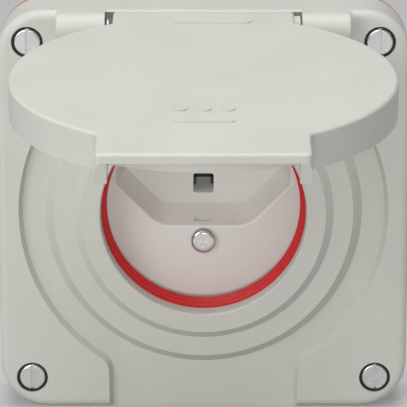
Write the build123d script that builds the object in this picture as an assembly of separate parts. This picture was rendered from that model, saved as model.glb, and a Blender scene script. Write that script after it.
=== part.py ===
from build123d import *
import os
from math import pi

# Splash-proof flush-mounted socket outlet with a round hinged lid, in millimetres.
# +X is right, +Z is up and +Y runs into the wall. The wall's surface is the plane y = 0 and the
# origin is the middle of the wall face. Heights h are counted from the front of the cover plate
# towards the user, so a height h lies at y = -STAND_OFF - h.

# Cover plate
PLATE = 86.0                # side of the square cover
CORNER_R = 10.0             # its corner radius
STAND_OFF = 16.0            # front of the cover above the wall
EDGE_R = 1.8                # rounding of the cover's front edge
WALL = 2.2                  # thickness of the cover's side walls
FRONT_T = 3.7               # thickness of the cover's front
GASKET_T = 1.2              # thickness of the wall gasket
GASKET_W = 3.0              # its width
WALL_H = -STAND_OFF         # height of the wall's surface
THROUGH = 1.0               # how far a cutter passes the face it leaves
SEATED = 0.02               # gap between pieces that sit on each other
NEAR = 0.01                 # how far off a corner or an edge may be when it is picked

# Lid seat and the stepped dome round the cup, as (radius, height) pairs
SEAT_H = -2.2               # floor of the lid seat
SEAT_R = 38.0               # radius of the seat's floor
SEAT_SLOPE = 0.7            # how far the seat's sloping wall leans out
CHANNEL_W = 19.3            # half width of the channel below the seat, at its floor
CHANNEL_R = 4.0             # rounding where the seat's circle meets the channel
SEAT_UNDER = 0.5            # how far the dome's foot reaches below the seat's floor
STEP_1 = ((33.2, SEAT_H), (31.3, 0.3))
STEP_2 = ((27.2, 0.3), (25.5, 2.3))
DOME_H = 2.3                # height of the innermost terrace
CUP_R = 21.5                # radius of the plug cup
CUP_EDGE_R = 0.45           # rounding of the cup's mouth
CUP_TUBE_R = 23.5           # outside of the cup's tube
CUP_TUBE_H = -11.0          # back end of the cup's tube

# Hinge
AXIS_Z = 39.3               # height of the hinge axis above the plate's middle
AXIS_H = 1.5                # height of the hinge axis above the plate's front
AXIS_Y = -STAND_OFF - AXIS_H
BARREL_R = 3.7              # outside of the hinge barrels
BARREL_IN = 20.2            # inner ends of the cover's two barrels
BARREL_OUT = 30.3           # their outer ends
BARREL_EDGE_R = 0.6         # rounding of those ends
BARREL_FOOT = 1.0           # how deep their feet reach into the plate
GAP_FLOOR_H = -0.7          # floor of the gap between the barrels, above the hinge
GAP_FLOOR_Z = 1.7           # where it starts above the hinge axis
POCKET_R = 4.0              # room for the lid's barrel in the cover
PIN_R = 1.25                # hinge pin
PIN_END = 0.4               # the pin's ends lie this far inside the barrels
PIN_CHAMFER = 0.25
PIN_RUN = 0.05              # radial clearance of the lid on its pin
PIN_SEAT = 0.02             # radial clearance of the pin in the cover
SPRING_POCKET_R = 3.1       # counterbore for the torsion spring
SPRING_POCKET_X = -24.6     # bottom of that counterbore
LID_SPRING_X = -23.5        # start of the torsion spring
LID_SPRING_R = 2.35
LID_SPRING_WIRE = 0.35      # radius of its wire
LID_SPRING_PITCH = 0.85
LID_SPRING_TURNS = 5

# Lid
LID_H = 5.2                 # front of the closed lid above the plate
LID_R = 37.5                # radius of the lid
LID_T = 1.8                 # thickness of its top
SKIRT_T = 2.1               # thickness of its skirt
SKIRT_END = -1.9            # height of the closed skirt's free edge
TAB_W = 19.5                # half width of the pull tab
TAB_END = -43.0             # lower end of the closed tab
TONGUE_W = 18.5             # half width of the hinge tongue
TONGUE_BOSS = (2.9, 1.3)    # radius and length of the boss on its right-hand end
NOTCH_R = 2.6               # rounding of the notches beside the tab
LEG_END = -1.2              # height of the free ends of the tab's side walls
LEG_SETBACK = 2.3           # how far those ends lean back from the tab's end
TIP_R = 1.0                 # rounding of the tab's corners
LID_EDGE_R = 0.6            # rounding of the lid's front edge
BRIDGE_T = 1.6              # wall that closes the circle behind the tab
BRIDGE_END = -0.4           # height of that wall's free edge
COLLAR_R = 19.95            # outside of the lid's sealing collar
COLLAR_T = 1.7              # its wall
COLLAR_END = -3.3           # height of the closed collar's free edge
COLLAR_LEAD = 0.4           # chamfer of that edge
JOINED = 0.2                # overlap of the lid's walls with its top
OPEN_REST = 83.9            # angle at which the lid stands open
RELIEF = 0.25               # height of the plain relief on the lid
RELIEF_ROOT = 0.5           # how deep it starts in the lid's top
PAD = (1.7, 34.0, 16.0, 3.6, 1.2)       # x, z, width, height and rounding of the blank pad
BAR = (0.0, -25.6, 11.5, 2.0, 0.9)      # the same for the bar
DOT_R = 1.5
DOT_PITCH = 4.5
DOT_Z = -19.0

# Cover screws
SCREW_AT = 36.35            # screws lie at plus and minus this in x and z
SCREW_BORE_R = 3.3          # bore for head and seal
SCREW_BORE_D = 3.0          # depth of that bore
SCREW_HOLE_R = 2.0
SCREW_BOSS_R = 4.5          # boss round the screw hole, inside the cover
SCREW_HEAD_R = 2.8
SCREW_HEAD_T = 2.4
SCREW_EDGE_R = 0.5          # rounding of the head
SCREW_SHANK_R = 1.5
SCREW_LENGTH = 11.5         # from under the head
HEAD_SINK = 0.2             # head's front below the plate's front
SLOT_W = 0.7
SLOT_D = 0.9
SEAL_GAP = 0.03             # gap on both sides of a screw's seal
SEAL_LOW = -2.95
SEAL_HIGH = -0.45

# Plug gasket
RING_R = 21.45
RING_FRONT = -1.9
RING_BACK = -7.2
RIDGES = ((-2.9, 20.85), (-4.6, 20.6), (-6.3, 20.4))
RIDGE_DEPTH = 0.45
RIDGE_FOOT = 0.55           # half width of a ridge at its foot
RIDGE_TOP = 0.15            # and at its top

# Socket face
FACE_H = -8.8               # front of the face
FACE_R = 21.2
FACE_T = 2.2
FACE_EDGE_R = 0.8
FACE_RIM_T = 1.4            # wall round the back of the face
RECESS_D = 12.5             # depth of the six-sided plug recess
RECESS_Z = 5.3              # its middle
RECESS_HALF_H = 10.6
RECESS_HALF_W = 18.5
RECESS_FLAT = 9.5           # half length of its top and bottom flats
RECESS_SIDE = 1.6           # half length of its short upright sides
RECESS_DRAFT = 1.6          # how far each wall leans in down to the floor
RECESS_WALL = 1.1
RECESS_CORNER_R = 1.5       # rounding of the corners at its sides
RECESS_BEND_R = 6.5         # rounding between its flats and its slopes
VERTEX_SHARE = 0.41         # how far a corner slides along a wall that moves by 1
RIM_R = 0.6                 # rounding of the recess's mouth
RIM_LENGTH = 30.0           # the mouth's edges are shorter than this
FLOOR_T = 2.2
FLOOR_H = FACE_H - RECESS_D
PIN_PITCH = 9.5             # line and neutral holes lie at plus and minus this in x
PIN_Z = 5.7                 # their height
EARTH_Z = 0.7               # height of the earth hole
PIN_HOLE = (4.4, 4.3)       # width and height of a pin hole
PIN_HOLE_R = 0.5
LATCH_SLOT = (4.1, 2.9)     # width and depth of the slot in the recess's lower wall
LATCH_SLOT_H = -12.7        # its middle
LATCH_CUT = (2.5, 2.0)      # how far its cutter reaches below and above the wall's edge
LATCH_LIP = 0.4             # wall left over the slot's undercut
LATCH_UNDER = 2.2           # how far that undercut reaches behind the slot

# Face screw
FACE_SCREW_Z = -8.5
FACE_SCREW_HEAD_R = 2.85
FACE_SCREW_HEAD_T = 1.5
FACE_SCREW_R = 1.45
FACE_SCREW_END = -29.8
FACE_SCREW_RUN = 0.1        # radial clearance in the face
CROSS = (0.55, 2.6, 0.9)    # width, length and depth of the cross in its head
HEAD_LAND = 0.3             # upright part of its domed head

# Socket body behind the face
BODY_R = 21.8
BODY_EDGE_R = 1.5
BODY_TUB_R = 20.6           # hollow that takes the recess
BODY_FRONT = -12.5          # front edge of the tub, where the face sits
BLOCK_FRONT = -23.6         # front of the contact block
BODY_BACK = -45.8
FLANGE_R = 25.8
FLANGE_BACK = -14.5         # flange sits on the support frame
EAR_AT = 19.4               # body screws lie at (+,+) and (-,-) this in x and z
EAR_R = 4.0
EAR_HOLE_R = 1.35
EAR_SCREW_R = 1.25
EAR_HEAD = (2.3, 1.7, 0.7)  # radius, height and rounding of an ear screw's head
EAR_SLOT = (0.7, 0.8)       # width and depth of its slot
SHUTTER_FRONT = -23.9
SHUTTER_BACK = -25.7
SHUTTER_POCKET = -26.0
SHUTTER_W = 12.2            # half width
SHUTTER_GAP = 0.3           # clearance at each end
SHUTTER_LOW = 2.9           # lower edge of its legs
SHUTTER_BAR_LOW = 3.9       # lower edge of the bar between them
SHUTTER_HIGH = 8.6          # its upper edge
SHUTTER_LEG_IN = 6.6        # inner edges of its legs
SHUTTER_LEG_TOP = 4.7       # top of the part of a leg that carries the ramp
SHUTTER_RAMP = 0.9          # chamfer that a plug's pins push against
POCKET_LOW = 2.6            # lower and upper ends of the shutter's pocket
POCKET_HIGH = 14.7
PEG = (0.5, 0.5, 9.9)       # half width, thickness and top of the spring's peg
SPRING_LOW = 8.85           # lower end of the shutter's spring
SPRING_TOP = 17.7           # its top seat
SPRING_WIRE = 0.2           # radius of its wire
SPRING_R = 1.35
SPRING_TURNS = 8
SPRING_SINK = 0.4           # how far its middle lies behind the shutter's back
SPRING_ROOM = 2.4           # half width of its room
SPRING_DEEP = 2.0           # depth of that room behind the pocket
SPRING_ROOM_LOW = 8.7

# Contacts and terminals
JAW_FRONT = -26.8
JAW_BACK = -36.3
JAW_T = 0.6
JAW_W = 4.4
JAW_MOUTH = 2.75            # half gap of the jaws at their mouth, throat and root
JAW_THROAT = 1.85
JAW_ROOT = 2.3
JAW_LEAD = 2.8              # distance from mouth to throat
CHAMBER_HALF = 3.4          # half width of a contact's chamber
CHAMBER_HALF_Z = 2.6
TUNNEL_GROW = 0.2           # how much wider the pin tunnels are than the pin holes
TAIL_T = 0.8
TAIL_HALF = 2.3
BASE_HALF = 2.6
TAIL_ROOM = 0.4             # room behind a tail
CLAMP = 6.0                 # side of a terminal clamp
CLAMP_FRONT = -37.4
CLAMP_GAP = 0.3             # room round a clamp
CLAMP_MIDDLE = CLAMP_FRONT - (CLAMP - CLAMP_GAP) / 2
CLAMP_ROOM_FRONT = 1.3      # room in front of a clamp, for the tail
CLAMP_ROOM_BACK = 0.5       # room behind it
WIRE_R = 1.7
WIRE_STOP = 1.2             # wall left at the front of a wire hole
LINE_CLAMP = (10.5, 13.5)   # line and neutral clamps lie at plus and minus x, at this z
EARTH_CLAMP_Z = -14.5
TERMINAL_SCREW_R = 1.6
TERMINAL_SCREW_IN = 1.8     # inner end of the screw, from the clamp's middle
TERMINAL_SCREW_L = 3.6
TERMINAL_SLOT = (0.6, 5.0, 0.8)     # width, length and depth
THREAD_GAP = 0.03

# Support frame
FRAME_SIDE = 79.0
FRAME_R = 7.0
FRAME_T = 1.5
FRAME_HOLE_R = 22.3
BOX_PITCH = 30.0            # wall box slots lie at plus and minus this in x
BOX_SLOT_R = 2.1
BOX_SLOT_L = 7.0
POST_R = 2.9
POST_FRONT = -8.0
RIVET_R = 2.0               # riveted foot of a post
STRAP_T = 0.7
STRAP_HALF = 2.8            # half width of the earth strap
STRAP_FOOT_Z = -28.6        # outer end of its foot
STRAP_TONGUE_Z = -18.2      # inner end of its tongue
STRAP_ROOM = 0.2            # room round its foot in the support frame's back


# ---- helpers -------------------------------------------------------------------------------
def slab(sketch, low, high):
    """The sketch, drawn in x and z, as a solid from height low to height high."""
    return extrude(Plane.XZ.offset(STAND_OFF + low) * sketch, high - low)


def along_x(sketch, start, end):
    """The sketch, drawn in y and z, as a solid from x start to x end."""
    return extrude(Plane.YZ.offset(start) * sketch, end - start)


def turned(points, x=0.0, z=0.0):
    """A ring or disc turned about the line parallel to y through (x, z), from (radius, height)."""
    outline = Polyline(*[(r, -STAND_OFF - h) for r, h in points], close=True)
    return Pos(x, 0, z) * revolve(make_face(outline), axis=Axis.Y)


def rod(radius, low, high, x=0.0, z=0.0):
    """A round bar parallel to y."""
    return slab(Pos(x, z) * Circle(radius), low, high)


def block(x0, x1, low, high, z0, z1):
    """A box between two x, two heights and two z."""
    middle = Pos((x0 + x1) / 2, (z0 + z1) / 2)
    return slab(middle * Rectangle(x1 - x0, z1 - z0), low, high)


def corners():
    """The places of the four cover screws."""
    return [(sx * SCREW_AT, sz * SCREW_AT) for sx in (-1, 1) for sz in (-1, 1)]


def ears():
    """The places of the two screws that hold the socket's body."""
    return [(EAR_AT, EAR_AT), (-EAR_AT, -EAR_AT)]


def front_edges(shape, height):
    """The edges that lie wholly at a height."""
    y = -STAND_OFF - height
    return shape.edges().filter_by_position(Axis.Y, y - NEAR, y + NEAR)


def coil(radius, wire_r, pitch, turns):
    """A round-wire coil that starts on the xy plane and climbs along z."""
    path = Helix(pitch, pitch * turns, radius)
    section = Plane(origin=path @ 0, z_dir=path % 0) * Circle(wire_r)
    return sweep(section, path=path, is_frenet=True)


# ---- cover ---------------------------------------------------------------------------------
def seat_outline(lean):
    """The lid seat's circle with the channel that runs down from it."""
    radius = SEAT_R + lean
    half = CHANNEL_W + lean
    outline = Circle(radius) + Pos(0, -PLATE / 2) * Rectangle(2 * half, PLATE)
    meets = [v for v in outline.vertices() if abs(abs(v.X) - half) < NEAR and v.Y > -PLATE * 0.9]
    return fillet(meets, CHANNEL_R)


def hinge_block(start, end):
    """One of the cover's barrels on its foot."""
    round_part = Pos(AXIS_Y, AXIS_Z) * Circle(BARREL_R)
    root_y = -STAND_OFF + BARREL_FOOT
    foot = Pos((AXIS_Y + root_y) / 2, AXIS_Z) * Rectangle(root_y - AXIS_Y, 2 * BARREL_R)
    piece = along_x(round_part + foot, start, end)
    outer = max(abs(start), abs(end))
    rim = [e for e in piece.edges() if abs(abs(e.center().X) - outer) < NEAR
           and e.center().Y < -STAND_OFF]
    return fillet(rim, BARREL_EDGE_R)


def front_cover():
    outline = RectangleRounded(PLATE, PLATE, CORNER_R)
    cover = slab(outline, WALL_H + GASKET_T, 0)
    cover = fillet(front_edges(cover, 0), EDGE_R)
    inner = PLATE - 2 * WALL
    hollow = slab(RectangleRounded(inner, inner, CORNER_R - WALL), WALL_H, -FRONT_T)
    hollow -= rod(CUP_TUBE_R, CUP_TUBE_H, 0)
    for x, z in corners():
        hollow -= rod(SCREW_BOSS_R, POST_FRONT + SEATED, 0, x, z)
    cover -= hollow
    top = Plane.XZ.offset(STAND_OFF + 0.001) * seat_outline(SEAT_SLOPE)
    floor = Plane.XZ.offset(STAND_OFF + SEAT_H) * seat_outline(0)
    cover -= loft([floor, top], ruled=True)
    inside = CUP_R - THROUGH
    under = SEAT_H - SEAT_UNDER
    dome = [(inside, under), (STEP_1[0][0], under), *STEP_1, *STEP_2, (inside, DOME_H)]
    cover += turned(dome)
    cover += hinge_block(-BARREL_OUT, -BARREL_IN) + hinge_block(BARREL_IN, BARREL_OUT)
    cover -= rod(CUP_R, WALL_H, DOME_H + THROUGH)
    mouth = [e for e in front_edges(cover, DOME_H) if e.length < 2 * pi * (CUP_R + 0.1)]
    cover = fillet(mouth, CUP_EDGE_R)
    axis = Pos(AXIS_Y, AXIS_Z)
    cover -= along_x(axis * Circle(POCKET_R), -BARREL_IN, BARREL_IN)
    cover -= block(-BARREL_IN, BARREL_IN, GAP_FLOOR_H, LID_H, AXIS_Z + GAP_FLOOR_Z, PLATE)
    cover -= along_x(axis * Circle(PIN_R + PIN_SEAT), -BARREL_OUT - THROUGH, BARREL_OUT + THROUGH)
    cover -= along_x(axis * Circle(SPRING_POCKET_R), SPRING_POCKET_X, -BARREL_IN)
    for x, z in corners():
        cover -= rod(SCREW_BORE_R, -SCREW_BORE_D, THROUGH, x, z)
        cover -= rod(SCREW_HOLE_R, WALL_H, THROUGH, x, z)
    return cover


def wall_gasket():
    outer = RectangleRounded(PLATE, PLATE, CORNER_R)
    side = PLATE - 2 * GASKET_W
    inner = RectangleRounded(side, side, CORNER_R - GASKET_W)
    return slab(outer - inner, WALL_H, WALL_H + GASKET_T - SEATED)


def cover_screws():
    under = -HEAD_SINK - SCREW_HEAD_T
    head = rod(SCREW_HEAD_R, under, -HEAD_SINK)
    head = fillet(front_edges(head, -HEAD_SINK), SCREW_EDGE_R)
    screw = head + rod(SCREW_SHANK_R, under - SCREW_LENGTH, under)
    screw -= block(-SLOT_W / 2, SLOT_W / 2, -HEAD_SINK - SLOT_D, 0, -SCREW_HEAD_R, SCREW_HEAD_R)
    return Compound([Pos(x, 0, z) * screw for x, z in corners()])


def screw_seals():
    seal = rod(SCREW_BORE_R - SEAL_GAP, SEAL_LOW, SEAL_HIGH)
    seal -= rod(SCREW_HEAD_R + SEAL_GAP, SEAL_LOW, SEAL_HIGH)
    return Compound([Pos(x, 0, z) * seal for x, z in corners()])


def plug_gasket():
    """A ring with soft sealing ridges on its inside."""
    points = [(RING_R, RING_BACK), (RING_R, RING_FRONT), (RIDGES[0][1] + RIDGE_DEPTH, RING_FRONT)]
    for height, radius in RIDGES:
        foot = radius + RIDGE_DEPTH
        points += [(foot, height + RIDGE_FOOT), (radius, height + RIDGE_TOP)]
        points += [(radius, height - RIDGE_TOP), (foot, height - RIDGE_FOOT)]
    points.append((RIDGES[-1][1] + RIDGE_DEPTH, RING_BACK))
    return turned(points)


# ---- lid -----------------------------------------------------------------------------------
def lid_outline(inset, tongue):
    """Disc and pull tab, with the hinge tongue if asked for. An inset one is open at the tab."""
    end = TAB_END if inset == 0 else TAB_END - TAB_W
    half = TAB_W - inset
    outline = Circle(LID_R - inset) + Pos(0, end / 2) * Rectangle(2 * half, -end)
    if tongue:
        outline += Pos(0, AXIS_Z / 2) * Rectangle(2 * TONGUE_W, AXIS_Z)
    reach = (LID_R - inset) * 0.7
    notches = [v for v in outline.vertices() if -LID_R < v.Y < -reach
               and abs(abs(v.X) - half) < NEAR]
    outline = fillet(notches, NOTCH_R)
    if inset == 0:
        tips = [v for v in outline.vertices() if v.Y < TAB_END + NEAR]
        outline = fillet(tips, TIP_R)
    return outline


def lid_barrel():
    piece = along_x(Pos(AXIS_Y, AXIS_Z) * Circle(BARREL_R), -TONGUE_W, TONGUE_W)
    piece = fillet(piece.edges().filter_by(GeomType.CIRCLE), LID_EDGE_R)
    radius, length = TONGUE_BOSS
    return piece + along_x(Pos(AXIS_Y, AXIS_Z) * Circle(radius), 0, TONGUE_W + length)


def leg_ends():
    """What is cut off the free ends of the tab's side walls: a wedge and a shallow block."""
    under = LID_H - LID_T
    wall = [(-STAND_OFF - under, TAB_END), (-STAND_OFF - SKIRT_END, TAB_END),
            (-STAND_OFF - SKIRT_END, TAB_END + LEG_SETBACK)]
    wedge = along_x(make_face(Polyline(*wall, close=True)), -TAB_W, TAB_W)
    foot_z = -(LID_R ** 2 - TAB_W ** 2) ** 0.5
    return wedge + block(-TAB_W, TAB_W, SKIRT_END, LEG_END, TAB_END, foot_z)


def lid_relief():
    """Plain low relief: a blank pad near the hinge, three dots and a bar near the tab."""
    low = LID_H - RELIEF_ROOT
    top = LID_H + RELIEF
    marks = None
    for x, z, width, height, radius in (PAD, BAR):
        mark = slab(Pos(x, z) * RectangleRounded(width, height, radius), low, top)
        marks = mark if marks is None else marks + mark
    for x in (-DOT_PITCH, 0, DOT_PITCH):
        marks += rod(DOT_R, low, top, x, DOT_Z)
    return marks


def closed_lid():
    under = LID_H - LID_T
    top = slab(lid_outline(0, True), under, LID_H)
    rim = [e for e in front_edges(top, LID_H) if e.center().Z < LID_R]
    top = fillet(rim, LID_EDGE_R)
    skirt = slab(lid_outline(0, False), SKIRT_END, under + JOINED)
    skirt -= slab(lid_outline(SKIRT_T, False), SKIRT_END, LID_H)
    skirt -= leg_ends()
    bridge = rod(LID_R, BRIDGE_END, under) - rod(LID_R - BRIDGE_T, BRIDGE_END, under)
    bridge &= block(-TAB_W + 1, TAB_W - 1, BRIDGE_END, under, TAB_END, 0)
    collar = rod(COLLAR_R, COLLAR_END, under + JOINED)
    collar -= rod(COLLAR_R - COLLAR_T, COLLAR_END, LID_H)
    collar = chamfer(front_edges(collar, COLLAR_END), COLLAR_LEAD)
    lid = top + skirt + bridge + collar + lid_barrel() + lid_relief()
    return lid - along_x(Pos(AXIS_Y, AXIS_Z) * Circle(PIN_R + PIN_RUN), -PLATE, PLATE)


def lid():
    """The lid standing open, turned about the hinge axis from its closed place."""
    hinge = Axis((0, AXIS_Y, AXIS_Z), (-1, 0, 0))
    return closed_lid().rotate(hinge, OPEN_REST)


def hinge_pin():
    half = BARREL_OUT - PIN_END
    pin = along_x(Pos(AXIS_Y, AXIS_Z) * Circle(PIN_R), -half, half)
    return chamfer(pin.edges().filter_by(GeomType.CIRCLE), PIN_CHAMFER)


def lid_spring():
    """Torsion spring round the pin, in the left-hand gap of the hinge."""
    spring = coil(LID_SPRING_R, LID_SPRING_WIRE, LID_SPRING_PITCH, LID_SPRING_TURNS)
    return Pos(LID_SPRING_X, AXIS_Y, AXIS_Z) * Rot(0, 90, 0) * spring


# ---- socket --------------------------------------------------------------------------------
def recess_outline(grow, shrink=0.0):
    """The six-sided recess, its side points cut short, grown by a wall or shrunk by draft."""
    change = grow - shrink
    flat = RECESS_FLAT + VERTEX_SHARE * change
    side = RECESS_SIDE + VERTEX_SHARE * change
    high = RECESS_HALF_H + change
    wide = RECESS_HALF_W + change
    half = [(flat, -high), (wide, -side), (wide, side), (flat, high)]
    points = half + [(-x, -z) for x, z in half]
    outline = Pos(0, RECESS_Z) * make_face(Polyline(*points, close=True))
    sides = [v for v in outline.vertices() if abs(abs(v.X) - wide) < NEAR]
    outline = fillet(sides, RECESS_CORNER_R)
    bends = [v for v in outline.vertices() if abs(abs(v.X) - flat) < NEAR
             and abs(abs(v.Y - RECESS_Z) - high) < NEAR]
    return fillet(bends, RECESS_BEND_R + change)


def recess_loft(grow, low, high):
    """A tapering plug in the shape of the recess between two heights."""
    ends = []
    for height in (high, low):
        shrink = RECESS_DRAFT * (FACE_H - height) / RECESS_D
        ends.append(Plane.XZ.offset(STAND_OFF + height) * recess_outline(grow, shrink))
    return loft(ends, ruled=True)


def pin_hole(grow=0.0):
    width, height = PIN_HOLE
    return RectangleRounded(width + 2 * grow, height + 2 * grow, PIN_HOLE_R + grow)


def pins():
    """The places of the line, neutral and earth holes."""
    return [(-PIN_PITCH, PIN_Z), (PIN_PITCH, PIN_Z), (0, EARTH_Z)]


def insert_face():
    back = FACE_H - FACE_T
    face = rod(FACE_R, back, FACE_H)
    face = fillet(front_edges(face, FACE_H), FACE_EDGE_R)
    face += rod(FACE_R, BODY_FRONT + SEATED, back) - rod(FACE_R - FACE_RIM_T, WALL_H, FACE_H)
    face += recess_loft(RECESS_WALL, FLOOR_H - FLOOR_T, back + 0.1)
    face -= recess_loft(0, FLOOR_H, FACE_H)
    mouth = [e for e in front_edges(face, FACE_H)
             if e.length < RIM_LENGTH and abs(e.center().X) < FACE_R - 2]
    face = fillet(mouth, RIM_R)
    for x, z in pins():
        face -= slab(Pos(x, z) * pin_hole(), FLOOR_H - FLOOR_T - THROUGH, FLOOR_H + THROUGH)
    width, depth = LATCH_SLOT
    edge = RECESS_Z - RECESS_HALF_H
    face -= block(-width / 2, width / 2, LATCH_SLOT_H - depth / 2, LATCH_SLOT_H + depth / 2,
                  edge - LATCH_CUT[0], edge + LATCH_CUT[1])
    face -= block(-width / 2, width / 2, LATCH_SLOT_H - depth / 2 - LATCH_UNDER, LATCH_SLOT_H,
                  edge - LATCH_CUT[0], edge - LATCH_LIP)
    face -= rod(FACE_SCREW_R + FACE_SCREW_RUN, BLOCK_FRONT, FACE_H + THROUGH, 0, FACE_SCREW_Z)
    return face


def face_screw():
    top = FACE_H + FACE_SCREW_HEAD_T
    head = rod(FACE_SCREW_HEAD_R, FACE_H + SEATED, top, 0, FACE_SCREW_Z)
    head = fillet(front_edges(head, top), FACE_SCREW_HEAD_T - HEAD_LAND)
    width, length, depth = CROSS
    for along, across in ((width, length), (length, width)):
        head -= block(-along / 2, along / 2, top - depth, top + THROUGH,
                      FACE_SCREW_Z - across / 2, FACE_SCREW_Z + across / 2)
    return head + rod(FACE_SCREW_R, FACE_SCREW_END, FACE_H + 0.1, 0, FACE_SCREW_Z)


def clamps():
    """The places of the line, neutral and earth terminals, and which way their screws point."""
    x, z = LINE_CLAMP
    return [(-x, z, 1), (x, z, 1), (0, EARTH_CLAMP_Z, -1)]


def insert_body():
    body = rod(BODY_R, BODY_BACK, BODY_FRONT)
    body = fillet(front_edges(body, BODY_BACK), BODY_EDGE_R)
    body += rod(FLANGE_R, FLANGE_BACK, BODY_FRONT)
    for x, z in ears():
        body += rod(EAR_R, FLANGE_BACK, BODY_FRONT, x, z)
    open_front = BODY_FRONT + THROUGH
    body -= rod(BODY_TUB_R, BLOCK_FRONT, open_front)
    body -= rod(FACE_SCREW_R + THREAD_GAP, FACE_SCREW_END - THROUGH, open_front, 0, FACE_SCREW_Z)
    # Shutter pocket, with its spring's seat above it
    half = SHUTTER_W + SHUTTER_GAP
    body -= block(-half, half, SHUTTER_POCKET, open_front, POCKET_LOW, POCKET_HIGH)
    body -= block(-SPRING_ROOM, SPRING_ROOM, SHUTTER_POCKET - SPRING_DEEP, open_front,
                  SPRING_ROOM_LOW, SPRING_TOP)
    # Contact chambers with pin tunnels in front of them
    for x, z in pins():
        body -= slab(Pos(x, z) * pin_hole(TUNNEL_GROW), JAW_FRONT - THROUGH, open_front)
        body -= block(x - CHAMBER_HALF, x + CHAMBER_HALF, CLAMP_FRONT, JAW_FRONT + CLAMP_GAP,
                      z - CHAMBER_HALF_Z, z + CHAMBER_HALF_Z)
    # Rooms for the clamps, open at the side for their screws and at the back for the wires
    half = CLAMP / 2 + CLAMP_GAP
    for x, z, way in clamps():
        low, high = sorted((z - way * half, way * (BODY_R + THROUGH)))
        body -= block(x - half, x + half, CLAMP_FRONT - CLAMP - CLAMP_ROOM_BACK,
                      CLAMP_FRONT + CLAMP_ROOM_FRONT, low, high)
        body -= rod(WIRE_R + TUNNEL_GROW, BODY_BACK - THROUGH, CLAMP_FRONT - CLAMP, x, z)
    # Slots for the contacts' tails
    tail = CLAMP_FRONT + TAIL_T + TAIL_ROOM
    for x, z in pins()[:2]:
        body -= block(x - BASE_HALF, x + BASE_HALF, CLAMP_FRONT, tail, z, LINE_CLAMP[1])
    body -= block(-BASE_HALF, BASE_HALF, CLAMP_FRONT, tail, EARTH_CLAMP_Z, EARTH_Z)
    # Slot for the earth strap
    half = STRAP_HALF + TAIL_ROOM
    body -= block(-half, half, CLAMP_FRONT + 0.1, CLAMP_FRONT + CLAMP_ROOM_FRONT,
                  -BODY_R - THROUGH, STRAP_TONGUE_Z + CLAMP_GAP)
    for x, z in ears():
        body -= rod(EAR_HOLE_R, WALL_H, BODY_FRONT + THROUGH, x, z)
    return body


def shutter():
    """One sliding piece with a blanking leg behind each live hole."""
    back, front = SHUTTER_BACK, SHUTTER_FRONT
    bar = block(-SHUTTER_W, SHUTTER_W, back, front, SHUTTER_BAR_LOW, SHUTTER_HIGH)
    for side in (-1, 1):
        inner, outer = sorted((side * SHUTTER_LEG_IN, side * SHUTTER_W))
        leg = block(inner, outer, back, front, SHUTTER_LOW, SHUTTER_LEG_TOP)
        edge = [e for e in front_edges(leg, front) if abs(e.center().Z - SHUTTER_LOW) < NEAR]
        bar += chamfer(edge, SHUTTER_RAMP)
    half, thick, top = PEG
    return bar + block(-half, half, back, back + thick, SHUTTER_HIGH - 0.1, top)


def shutter_spring():
    pitch = (SPRING_TOP - SPRING_LOW - 2 * SPRING_WIRE) / SPRING_TURNS
    y = -STAND_OFF - SHUTTER_BACK + SPRING_SINK
    return Pos(0, y, SPRING_LOW + SPRING_WIRE) * coil(SPRING_R, SPRING_WIRE, pitch, SPRING_TURNS)


def contact(x, z, tail_end, flip):
    """Two sprung jaws joined at the back, with a tail that reaches the terminal."""
    piece = None
    for side in (-1, 1):
        mouth = (side * JAW_MOUTH, -STAND_OFF - JAW_FRONT)
        throat = (side * JAW_THROAT, -STAND_OFF - JAW_FRONT + JAW_LEAD)
        root = (side * JAW_ROOT, -STAND_OFF - JAW_BACK)
        line = Polyline(mouth, throat, root)
        strip = trace(line, JAW_T)
        jaw = extrude(Plane.XY.offset(z - JAW_W / 2) * strip, JAW_W)
        piece = jaw if piece is None else piece + jaw
    half = JAW_W / 2
    base = block(-BASE_HALF, BASE_HALF, JAW_BACK - TAIL_T, JAW_BACK, z - half, z + half)
    low, high = sorted((z - flip * half, tail_end))
    tail = block(-TAIL_HALF, TAIL_HALF, JAW_BACK - TAIL_T, JAW_BACK, low, high)
    return Pos(x, 0, 0) * (piece + base + tail)


def terminal_clamps():
    pieces = []
    for x, z, way in clamps():
        low = CLAMP_FRONT - CLAMP + CLAMP_GAP
        half = CLAMP / 2
        clamp = block(x - half, x + half, low, CLAMP_FRONT - SEATED, z - half, z + half)
        clamp -= rod(WIRE_R, low - THROUGH, CLAMP_FRONT - WIRE_STOP, x, z)
        hole = Plane((x, -STAND_OFF - CLAMP_MIDDLE, z), z_dir=(0, 0, way))
        clamp -= extrude(hole * Circle(TERMINAL_SCREW_R + THREAD_GAP), half + THROUGH)
        pieces.append(clamp)
    return Compound(pieces)


def terminal_screws():
    pieces = []
    for x, z, way in clamps():
        inner = z + way * TERMINAL_SCREW_IN
        start = Plane((x, -STAND_OFF - CLAMP_MIDDLE, inner), z_dir=(0, 0, way))
        screw = extrude(start * Circle(TERMINAL_SCREW_R), TERMINAL_SCREW_L)
        width, length, depth = TERMINAL_SLOT
        bottom = start.offset(TERMINAL_SCREW_L - depth)
        pieces.append(screw - extrude(bottom * Rectangle(width, length), depth))
    return Compound(pieces)


def earth_strap():
    """Strip from the earth contact round to a step in the back of the support frame."""
    half, t = STRAP_HALF, STRAP_T
    front = WALL_H + t
    back = CLAMP_FRONT + CLAMP_GAP
    z0, z1 = -FRAME_HOLE_R - t / 2, -FRAME_HOLE_R + t / 2
    foot = block(-half, half, WALL_H + SEATED, front, STRAP_FOOT_Z, z1)
    leg = block(-half, half, back, front, z0, z1)
    tongue = block(-half, half, back, back + t, z0, STRAP_TONGUE_Z)
    return foot + leg + tongue


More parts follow.
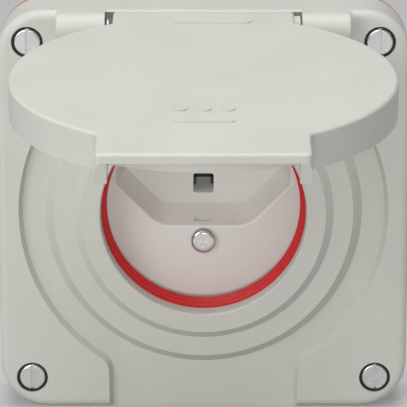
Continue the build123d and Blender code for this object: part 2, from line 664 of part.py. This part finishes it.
def support_frame():
    plate = slab(RectangleRounded(FRAME_SIDE, FRAME_SIDE, FRAME_R), WALL_H, WALL_H + FRAME_T)
    plate -= rod(FRAME_HOLE_R, WALL_H - THROUGH, 0)
    for side in (-1, 1):
        slot = SlotOverall(BOX_SLOT_L, 2 * BOX_SLOT_R)
        plate -= slab(Pos(side * BOX_PITCH, 0) * slot, WALL_H - THROUGH, 0)
    for x, z in ears():
        plate -= rod(EAR_SCREW_R + THREAD_GAP, WALL_H - THROUGH, 0, x, z)
    for x, z in corners():
        plate -= rod(RIVET_R + SEATED, WALL_H - THROUGH, 0, x, z)
    half = STRAP_HALF + STRAP_ROOM
    plate -= block(-half, half, WALL_H - THROUGH, WALL_H + STRAP_T + SEATED,
                   STRAP_FOOT_Z - STRAP_ROOM, 0)
    return plate


def corner_posts():
    """Threaded brass posts, riveted in the support frame, that take the cover screws."""
    low = WALL_H + FRAME_T + SEATED
    post = rod(POST_R, low, POST_FRONT) + rod(RIVET_R, WALL_H + SEATED, low)
    post -= rod(SCREW_SHANK_R + THREAD_GAP, WALL_H, 0)
    return Compound([Pos(x, 0, z) * post for x, z in corners()])


def body_screws():
    radius, tall, rounding = EAR_HEAD
    width, depth = EAR_SLOT
    low = BODY_FRONT + SEATED
    head = rod(radius, low, low + tall)
    head = fillet(front_edges(head, low + tall), rounding)
    head -= block(-width / 2, width / 2, low + tall - depth, low + tall, -radius, radius)
    screw = head + rod(EAR_SCREW_R, WALL_H + SEATED, low)
    return Compound([Pos(x, 0, z) * screw for x, z in ears()])


# ---- all sub-parts -------------------------------------------------------------------------
def parts():
    line_z = LINE_CLAMP[1] - 0.5
    return {
        "front_cover": front_cover(),
        "wall_gasket": wall_gasket(),
        "cover_screws": cover_screws(),
        "screw_seals": screw_seals(),
        "plug_gasket": plug_gasket(),
        "lid": lid(),
        "hinge_pin": hinge_pin(),
        "lid_spring": lid_spring(),
        "insert_face": insert_face(),
        "face_screw": face_screw(),
        "insert_body": insert_body(),
        "shutter": shutter(),
        "shutter_spring": shutter_spring(),
        "contact_line": contact(-PIN_PITCH, PIN_Z, line_z, 1),
        "contact_neutral": contact(PIN_PITCH, PIN_Z, line_z, 1),
        "contact_earth": contact(0, EARTH_Z, EARTH_CLAMP_Z + 0.5, -1),
        "terminal_clamps": terminal_clamps(),
        "terminal_screws": terminal_screws(),
        "earth_strap": earth_strap(),
        "support_frame": support_frame(),
        "corner_posts": corner_posts(),
        "body_screws": body_screws(),
    }


os.makedirs("parts", exist_ok=True)
for name, shape in parts().items():
    export_step(shape, f"parts/{name}.step")
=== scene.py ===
"""Looks of the splash-proof socket outlet: materials, floor, soft light and camera."""
import math
import bpy
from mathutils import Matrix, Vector


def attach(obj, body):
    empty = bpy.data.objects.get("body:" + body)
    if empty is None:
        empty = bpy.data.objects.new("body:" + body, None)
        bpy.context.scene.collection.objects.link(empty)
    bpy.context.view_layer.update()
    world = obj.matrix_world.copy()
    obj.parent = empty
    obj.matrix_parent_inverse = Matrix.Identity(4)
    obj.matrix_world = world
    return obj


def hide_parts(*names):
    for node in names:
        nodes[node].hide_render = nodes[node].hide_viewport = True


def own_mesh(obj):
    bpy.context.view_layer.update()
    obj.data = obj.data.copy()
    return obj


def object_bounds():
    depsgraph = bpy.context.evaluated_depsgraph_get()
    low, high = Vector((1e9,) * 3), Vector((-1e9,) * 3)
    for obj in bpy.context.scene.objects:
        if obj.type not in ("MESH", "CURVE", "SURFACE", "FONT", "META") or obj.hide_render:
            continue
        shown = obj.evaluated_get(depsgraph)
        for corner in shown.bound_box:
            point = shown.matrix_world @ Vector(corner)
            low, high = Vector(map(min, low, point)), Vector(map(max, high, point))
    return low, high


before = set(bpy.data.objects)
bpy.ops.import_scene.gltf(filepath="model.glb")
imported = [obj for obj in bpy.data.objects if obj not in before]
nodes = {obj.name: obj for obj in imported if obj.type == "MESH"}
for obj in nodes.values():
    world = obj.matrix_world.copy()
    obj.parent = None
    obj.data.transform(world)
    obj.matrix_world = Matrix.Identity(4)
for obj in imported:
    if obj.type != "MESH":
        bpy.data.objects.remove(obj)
cad_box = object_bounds()

MM = 0.001
PER_MM = 1000.0             # object coordinates are metres; textures work in millimetres

# Places that the looks share with the frame, in metres
FLOOR_Z = cad_box[0].z

# Screws' middles in x and z, in millimetres
COVER_SCREW = (36.35, 36.35)
FACE_SCREW = (0, -8.5)

# Studio
AIM = (0, -0.03, 0)         # what every lamp faces
WORLD_STRENGTH = 0.28
FLOOR_HALF = 4.0            # half the floor's side
FLOOR_GREY = (0.62, 0.62, 0.62)

# Camera
CAMERA_AT = (0.0, -0.6018, 0.1640)
TILT = 15.46                # degrees down from level
LENS = 257.3                # millimetres
SENSOR = 36.0
CLIP = (0.05, 20.0)

# Satin, grain and flow of the materials
NOISE_RANGE = (0.3, 0.7)    # middle range of a noise's values
FLOW_SIZE = 14.0            # lumps of the flow mottling in moulded plastic, in millimetres
FLOW_DEPTH = 0.05
FLOW_STRENGTH = 0.3
SPECK_SIZE = 0.6
RING_PITCH = 0.16           # turned rings on the screw heads
RING_DEPTH = 0.004


# ---- material helpers ----------------------------------------------------------------------
class Paint:
    """A principled material with its coordinates in millimetres."""

    def __init__(self, name, colour, roughness, metallic=0.0):
        self.mat = bpy.data.materials.new(name)
        self.mat.use_nodes = True
        self.tree = self.mat.node_tree
        self.bsdf = self.tree.nodes["Principled BSDF"]
        self.bsdf.inputs["Base Color"].default_value = (*colour, 1)
        self.bsdf.inputs["Roughness"].default_value = roughness
        self.bsdf.inputs["Metallic"].default_value = metallic
        self.colour = colour
        coords = self.node("ShaderNodeTexCoord")
        scale = self.node("ShaderNodeVectorMath", operation="SCALE")
        scale.inputs["Scale"].default_value = PER_MM
        self.link(coords.outputs["Object"], scale.inputs[0])
        self.place = scale.outputs[0]
        self.normal = None

    def node(self, kind, **settings):
        made = self.tree.nodes.new(kind)
        for key, value in settings.items():
            setattr(made, key, value)
        return made

    def link(self, out, into):
        self.tree.links.new(out, into)

    def math(self, operation, a, b=None):
        """A Math node on two sockets or numbers."""
        made = self.node("ShaderNodeMath", operation=operation)
        for value, socket in ((a, made.inputs[0]), (b, made.inputs[1])):
            if isinstance(value, (int, float)):
                socket.default_value = value
            elif value is not None:
                self.link(value, socket)
        return made.outputs[0]

    def noise(self, size, detail=2.0, stretch=(1, 1, 1), rough=0.5):
        """Noise whose lumps are about size millimetres across."""
        at = self.place
        if stretch != (1, 1, 1):
            squeeze = self.node("ShaderNodeVectorMath", operation="MULTIPLY")
            self.link(at, squeeze.inputs[0])
            squeeze.inputs[1].default_value = stretch
            at = squeeze.outputs[0]
        made = self.node("ShaderNodeTexNoise")
        self.link(at, made.inputs["Vector"])
        made.inputs["Scale"].default_value = 1.0 / size
        made.inputs["Detail"].default_value = detail
        made.inputs["Roughness"].default_value = rough
        return made.outputs["Fac"]

    def spread(self, value, low, high):
        """The value's middle range stretched to run from low to high."""
        made = self.node("ShaderNodeMapRange")
        self.link(value, made.inputs["Value"])
        made.inputs["From Min"].default_value = NOISE_RANGE[0]
        made.inputs["From Max"].default_value = NOISE_RANGE[1]
        made.inputs["To Min"].default_value = low
        made.inputs["To Max"].default_value = high
        return made.outputs["Result"]

    def bump(self, height, depth, strength=1.0):
        """Bump of that depth in millimetres, on top of the bumps made before."""
        made = self.node("ShaderNodeBump")
        made.inputs["Distance"].default_value = depth * MM
        made.inputs["Strength"].default_value = strength
        self.link(height, made.inputs["Height"])
        if self.normal is not None:
            self.link(self.normal, made.inputs["Normal"])
        self.normal = made.outputs["Normal"]
        self.link(self.normal, self.bsdf.inputs["Normal"])

    def tint(self, *layers):
        """Colour times the layers, each a value near 1."""
        value = layers[0]
        for layer in layers[1:]:
            value = self.math("MULTIPLY", value, layer)
        made = self.node("ShaderNodeVectorMath", operation="SCALE")
        made.inputs[0].default_value = self.colour
        self.link(value, made.inputs["Scale"])
        self.link(made.outputs[0], self.bsdf.inputs["Base Color"])

    def roughen(self, value):
        self.link(value, self.bsdf.inputs["Roughness"])


def moulded(name, colour, roughness, grain=0.22, depth=0.012, mottle=0.02):
    """Satin moulded plastic: fine spark-eroded grain, faint flow mottling, uneven sheen."""
    paint = Paint(name, colour, roughness)
    paint.bsdf.inputs["Specular IOR Level"].default_value = 0.4
    fine = paint.noise(grain, detail=3)
    flow = paint.noise(FLOW_SIZE, detail=3, stretch=(1, 1, 0.6))
    specks = paint.noise(SPECK_SIZE, detail=4, rough=0.7)
    paint.tint(paint.spread(flow, 1 - mottle, 1 + mottle), paint.spread(specks, 0.985, 1.012))
    paint.roughen(paint.spread(flow, roughness - 0.05, roughness + 0.05))
    paint.bump(fine, depth)
    paint.bump(flow, FLOW_DEPTH, FLOW_STRENGTH)
    return paint.mat


def rubber(name, colour, roughness):
    """Soft rubber with a faint bloom and moulding grain."""
    paint = Paint(name, colour, roughness)
    paint.bsdf.inputs["Specular IOR Level"].default_value = 0.5
    bloom = paint.noise(3.0, detail=4, rough=0.6)
    fine = paint.noise(0.15, detail=2)
    paint.tint(paint.spread(bloom, 0.93, 1.07))
    paint.roughen(paint.spread(bloom, roughness - 0.06, roughness + 0.1))
    paint.bump(fine, 0.01)
    return paint.mat


def metal(name, colour, roughness, line=0.08, stretch=(1, 1, 1), depth=0.004):
    """Plated or bare metal with fine drawn lines, stains and uneven gloss."""
    paint = Paint(name, colour, roughness, metallic=1.0)
    drawn = paint.noise(line, detail=2, stretch=stretch)
    stain = paint.noise(2.5, detail=4, rough=0.65)
    paint.tint(paint.spread(stain, 0.93, 1.05), paint.spread(drawn, 0.97, 1.03))
    paint.roughen(paint.spread(stain, roughness - 0.05, roughness + 0.08))
    paint.bump(drawn, depth)
    return paint.mat


def turned_metal(name, colour, roughness, centre, both):
    """Turned screw heads: fine rings round each head's middle, in x and z."""
    paint = Paint(name, colour, roughness, metallic=1.0)
    parts = paint.node("ShaderNodeSeparateXYZ")
    paint.link(paint.place, parts.inputs[0])
    across, up = parts.outputs["X"], parts.outputs["Z"]
    if both:
        across = paint.math("ABSOLUTE", across)
        up = paint.math("ABSOLUTE", up)
    dx = paint.math("SUBTRACT", across, centre[0])
    dz = paint.math("SUBTRACT", up, centre[1])
    reach = paint.math("SQRT", paint.math("ADD", paint.math("MULTIPLY", dx, dx),
                                          paint.math("MULTIPLY", dz, dz)))
    rings = paint.node("ShaderNodeTexNoise", noise_dimensions="1D")
    paint.link(reach, rings.inputs["W"])
    rings.inputs["Scale"].default_value = 1.0 / RING_PITCH
    rings.inputs["Detail"].default_value = 2.0
    stain = paint.noise(1.6, detail=4, rough=0.6)
    paint.tint(paint.spread(stain, 0.95, 1.04))
    paint.roughen(paint.spread(stain, roughness - 0.04, roughness + 0.08))
    paint.bump(rings.outputs["Fac"], RING_DEPTH)
    return paint.mat


GREY = (0.60, 0.598, 0.552)
cover_plastic = moulded("cover_plastic", GREY, 0.46)
lid_plastic = moulded("lid_plastic", GREY, 0.46)
# The insert's plastic is paler than the cover's grey; the extra paleness is painted light
# that lifts its face and recess out of the lid's shade.
insert_plastic = moulded("insert_plastic", (0.74, 0.725, 0.69), 0.40, grain=0.3, depth=0.006)
body_plastic = moulded("body_plastic", (0.70, 0.70, 0.67), 0.5, grain=0.35, depth=0.015,
                       mottle=0.03)
shutter_plastic = moulded("shutter_plastic", (0.03, 0.03, 0.032), 0.45, grain=0.3)
red_rubber = rubber("red_rubber", (0.62, 0.012, 0.015), 0.35)
black_rubber = rubber("black_rubber", (0.012, 0.012, 0.012), 0.55)
screw_steel = turned_metal("screw_steel", (0.80, 0.80, 0.79), 0.24, COVER_SCREW, True)
face_steel = turned_metal("face_steel", (0.80, 0.79, 0.77), 0.18, FACE_SCREW, False)
plated_steel = metal("plated_steel", (0.70, 0.70, 0.68), 0.28)
spring_steel = metal("spring_steel", (0.66, 0.66, 0.66), 0.25, line=0.05)
sheet_steel = metal("sheet_steel", (0.62, 0.62, 0.60), 0.36, line=0.12,
                    stretch=(0.05, 1, 1), depth=0.006)
brass = metal("brass", (0.72, 0.53, 0.24), 0.30, line=0.1)
# Painted shade: the earth contact's metal is made near-black so the inside of the earth hole
# reads dark.
painted_shade_contact_metal = metal("painted_shade_contact_metal", (0.09, 0.085, 0.078), 0.2, line=0.1)

FINISH = {
    "front_cover": cover_plastic, "lid": lid_plastic, "insert_face": insert_plastic,
    "insert_body": body_plastic, "shutter": shutter_plastic, "plug_gasket": red_rubber,
    "wall_gasket": red_rubber, "screw_seals": black_rubber, "cover_screws": screw_steel,
    "face_screw": face_steel, "hinge_pin": plated_steel, "lid_spring": spring_steel,
    "shutter_spring": spring_steel, "contact_line": brass, "contact_neutral": brass,
    "contact_earth": painted_shade_contact_metal, "terminal_clamps": brass, "corner_posts": brass,
    "terminal_screws": plated_steel, "earth_strap": plated_steel, "body_screws": plated_steel,
    "support_frame": sheet_steel,
}
for name, finish in FINISH.items():
    slots = nodes[name].data.materials
    slots.clear()
    slots.append(finish)


# ---- shutter spring ------------------------------------------------------------------------
def shutter_spring():
    """The coil over the shutter, copied into a mesh of its own and hung from the socket body.
    """
    node = nodes["shutter_spring"]
    spring = bpy.data.objects.new("coil", node.data.copy())
    spring.matrix_world = node.matrix_world.copy()
    bpy.context.scene.collection.objects.link(spring)
    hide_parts("shutter_spring")
    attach(spring, "socket")
    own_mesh(spring)


shutter_spring()


# ---- floor and light -----------------------------------------------------------------------
def floor():
    """A pale floor that the outlet stands on."""
    half = FLOOR_HALF
    mesh = bpy.data.meshes.new("floor")
    z = FLOOR_Z
    mesh.from_pydata([(-half, -half, z), (half, -half, z), (half, half, z), (-half, half, z)],
                     [], [(0, 1, 2, 3)])
    made = bpy.data.objects.new("floor", mesh)
    bpy.context.scene.collection.objects.link(made)
    paint = Paint("floor_paper", FLOOR_GREY, 0.9)
    paint.bsdf.inputs["Specular IOR Level"].default_value = 0.1
    paint.tint(paint.spread(paint.noise(40.0, detail=3), 0.99, 1.01))
    mesh.materials.append(paint.mat)


def lamp(name, place, size, power, shadow=True):
    """A square soft box that faces the outlet."""
    data = bpy.data.lights.new(name, "AREA")
    data.shape = "SQUARE"
    data.size = size
    data.energy = power
    data.use_shadow = shadow
    made = bpy.data.objects.new(name, data)
    made.location = place
    facing = Vector(AIM) - Vector(place)
    made.rotation_euler = facing.to_track_quat("-Z", "Y").to_euler()
    bpy.context.scene.collection.objects.link(made)


def light():
    world = bpy.data.worlds.new("studio")
    bpy.context.scene.world = world
    world.use_nodes = True
    sky = world.node_tree.nodes["Background"]
    sky.inputs["Color"].default_value = (1, 1, 1, 1)
    sky.inputs["Strength"].default_value = WORLD_STRENGTH
    lamp("key", (-0.28, -0.42, 0.20), 0.2, 0.63)
    lamp("front", (0.08, -1.5, 0.20), 0.3, 0.9)
    lamp("fill", (-0.3, -0.9, 0.9), 0.6, 5.0, shadow=False)
    lamp("top", (0.0, -0.05, 1.2), 0.8, 8.3)
    bpy.context.scene.view_settings.view_transform = "Standard"


# ---- camera --------------------------------------------------------------------------------
def camera():
    data = bpy.data.cameras.new("camera")
    data.sensor_width = SENSOR
    data.lens = LENS
    data.clip_start = CLIP[0]
    data.clip_end = CLIP[1]
    made = bpy.data.objects.new("camera", data)
    made.location = CAMERA_AT
    made.rotation_euler = (math.radians(90 - TILT), 0.0, 0.0)
    bpy.context.scene.collection.objects.link(made)
    bpy.context.scene.camera = made


floor()
light()
camera()
